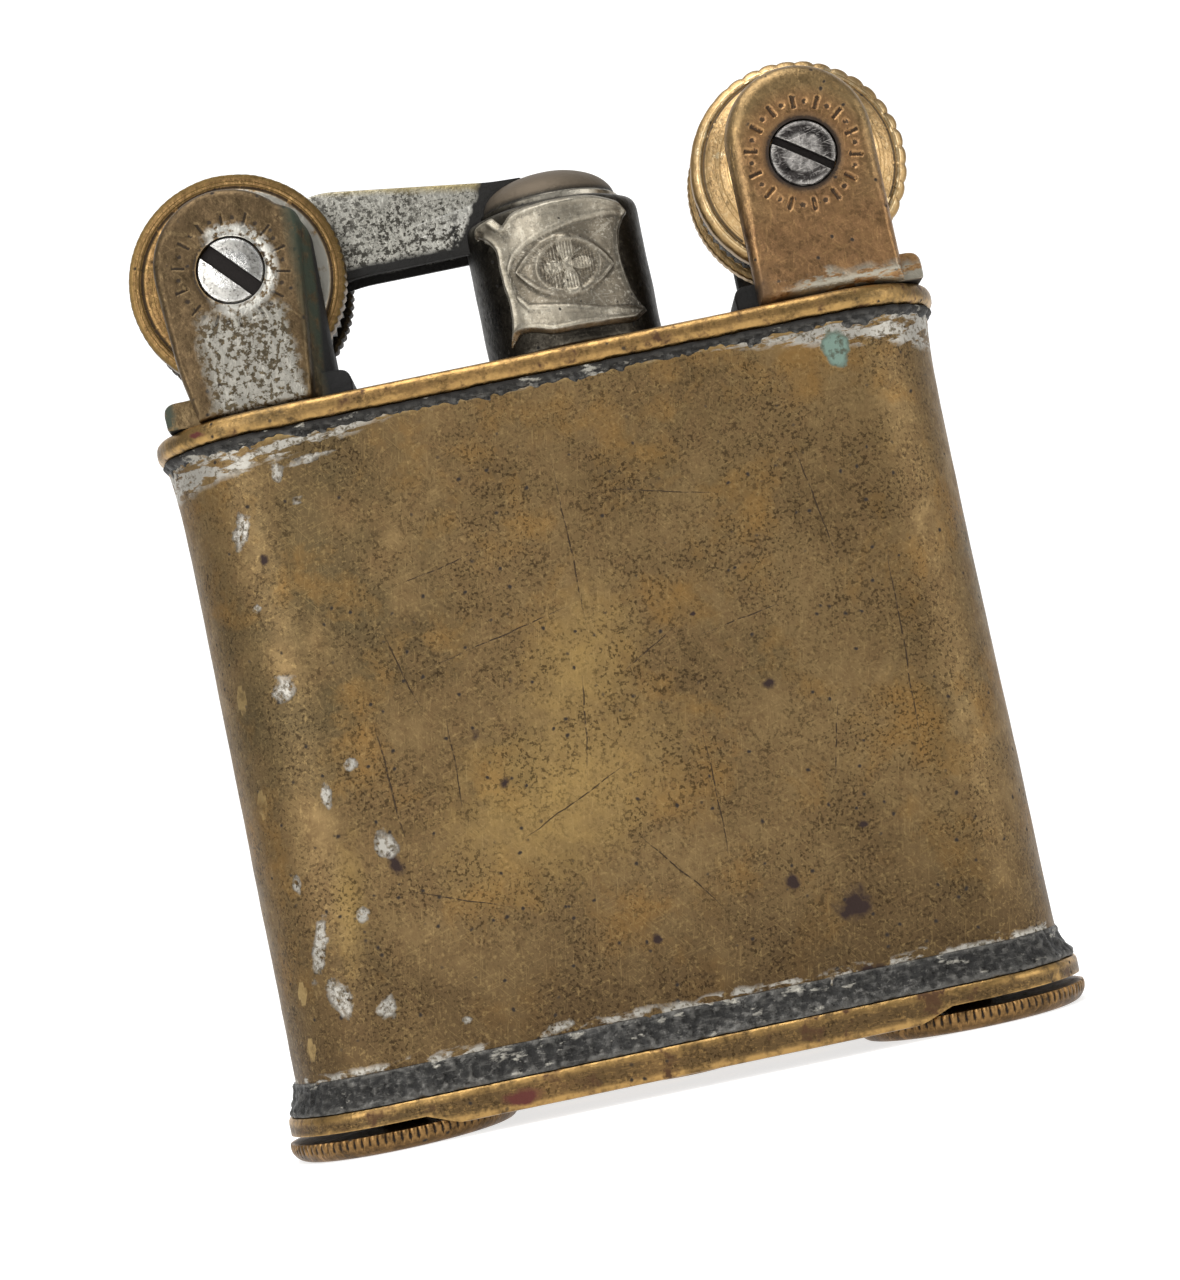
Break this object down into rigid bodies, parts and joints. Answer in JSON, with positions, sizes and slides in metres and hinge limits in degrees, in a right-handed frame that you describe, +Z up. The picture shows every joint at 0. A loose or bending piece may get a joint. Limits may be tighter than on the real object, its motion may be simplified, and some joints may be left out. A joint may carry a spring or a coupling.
{
  "type": "lighter",
  "caption": "Flat oval petrol lighter with a striker wheel in a fork at each end of the deck, a swinging snuffer cap over the wick and screw-in flint knobs under the base.",
  "frame": {"origin": "middle of the footprint, in the plane of the two flint knobs' faces that it stands on", "axes": "+Z up along the case, +X to the right towards the plain wheel, front (slotted screw heads) towards -Y"},
  "size_m": [0.0472, 0.0136, 0.0575],
  "materials": {
    "case_brass": "aged satin brass, worn through its nickel plating, fine scratches and pits",
    "rim_brass": "rubbed satin brass with brown tarnish",
    "solder": "dull grey soft solder, blackened in the corner",
    "fork_brass": "brown tarnished brass with speckled plating left at the foot",
    "disc_brass": "turned brass, bright where it is rubbed",
    "nickel": "pitted nickel plate",
    "cap_nickel": "darkened nickel silver with raised ornament",
    "dark_steel": "dark hardened steel",
    "bright_steel": "bright worn steel",
    "spring_steel": "drawn spring wire",
    "ferrocerium": "dull grey ferrocerium rod",
    "cotton": "packed cotton wool",
    "wick": "braided cotton wick, charred at the tip",
    "fibre": "red fibre sealing washer"
  },
  "bodies": {
    "case": {"case_shell": "case_brass", "top_plate": "rim_brass", "bottom_plate": "rim_brass", "top_solder_fillet": "solder", "base_solder_fillet": "solder", "burner_tube": "disc_brass", "wick": "wick", "cotton_wadding": "cotton", "filler_bush": "disc_brass", "left_fork": "fork_brass", "right_fork": "fork_brass", "left_axle_screw": "bright_steel", "right_axle_screw": "dark_steel", "left_flint_tube": "disc_brass", "right_flint_tube": "disc_brass"},
    "left_wheel": {"left_front_disc": "disc_brass", "left_spark_wheel": "dark_steel", "left_rear_disc": "disc_brass", "left_hub_sleeve": "disc_brass"},
    "right_wheel": {"right_front_disc": "disc_brass", "right_spark_wheel": "dark_steel", "right_rear_disc": "disc_brass", "right_hub_sleeve": "disc_brass"},
    "snuffer": {"snuffer_arm": "nickel", "snuffer_cup": "cap_nickel", "cap_cartouche": "cap_nickel"},
    "left_flint": {"left_flint": "ferrocerium", "left_flint_follower": "disc_brass"},
    "right_flint": {"right_flint": "ferrocerium", "right_flint_follower": "disc_brass"},
    "left_feed": {"left_flint_spring": "spring_steel"},
    "right_feed": {"right_flint_spring": "spring_steel"},
    "left_knob": {"left_flint_knob": "rim_brass"},
    "right_knob": {"right_flint_knob": "rim_brass"},
    "filler_seal": {"filler_washer": "fibre"},
    "filler_screw": {"filler_screw": "rim_brass"}
  },
  "joints": [
    {"name": "left_wheel_spin", "type": "hinge", "parent": "case", "child": "left_wheel", "pos_m": [-0.01655, 0, 0.05105], "axis": [0, 1, 0], "continuous": true},
    {"name": "right_wheel_spin", "type": "hinge", "parent": "case", "child": "right_wheel", "pos_m": [0.01715, 0, 0.05105], "axis": [0, 1, 0], "continuous": true},
    {"name": "snuffer_swing", "type": "hinge", "parent": "case", "child": "snuffer", "pos_m": [-0.01655, 0, 0.05105], "axis": [0, -1, 0], "range_deg": [0, 115]},
    {"name": "left_flint_travel", "type": "slide", "parent": "case", "child": "left_flint", "axis": [0, 0, 1], "range_m": [-0.0015, 0], "stiffness_N_per_m": 300, "springref_m": 0.003, "deforming": ["left_flint_spring"]},
    {"name": "left_knob_travel", "type": "slide", "parent": "case", "child": "left_feed", "axis": [0, 0, -1], "range_m": [0, 0.006]},
    {"name": "left_knob_turn", "type": "hinge", "parent": "left_feed", "child": "left_knob", "pos_m": [-0.01685, 0, 0], "axis": [0, 0, -1], "range_deg": [0, 4321]},
    {"name": "right_flint_travel", "type": "slide", "parent": "case", "child": "right_flint", "axis": [0, 0, 1], "range_m": [-0.0015, 0], "stiffness_N_per_m": 300, "springref_m": 0.003, "deforming": ["right_flint_spring"]},
    {"name": "right_knob_travel", "type": "slide", "parent": "case", "child": "right_feed", "axis": [0, 0, -1], "range_m": [0, 0.006]},
    {"name": "right_knob_turn", "type": "hinge", "parent": "right_feed", "child": "right_knob", "pos_m": [0.01685, 0, 0], "axis": [0, 0, -1], "range_deg": [0, 4321]},
    {"name": "filler_travel", "type": "slide", "parent": "case", "child": "filler_seal", "axis": [0, 0, -1], "range_m": [0, 0.004]},
    {"name": "filler_turn", "type": "hinge", "parent": "filler_seal", "child": "filler_screw", "pos_m": [0, 0, 0], "axis": [0, 0, -1], "range_deg": [0, 2881]}
  ],
  "couplings": [
    {"joint": "left_knob_turn", "follows": "left_knob_travel", "rad_per_m": 12566},
    {"joint": "right_knob_turn", "follows": "right_knob_travel", "rad_per_m": 12566},
    {"joint": "filler_turn", "follows": "filler_travel", "rad_per_m": 12566}
  ]
}
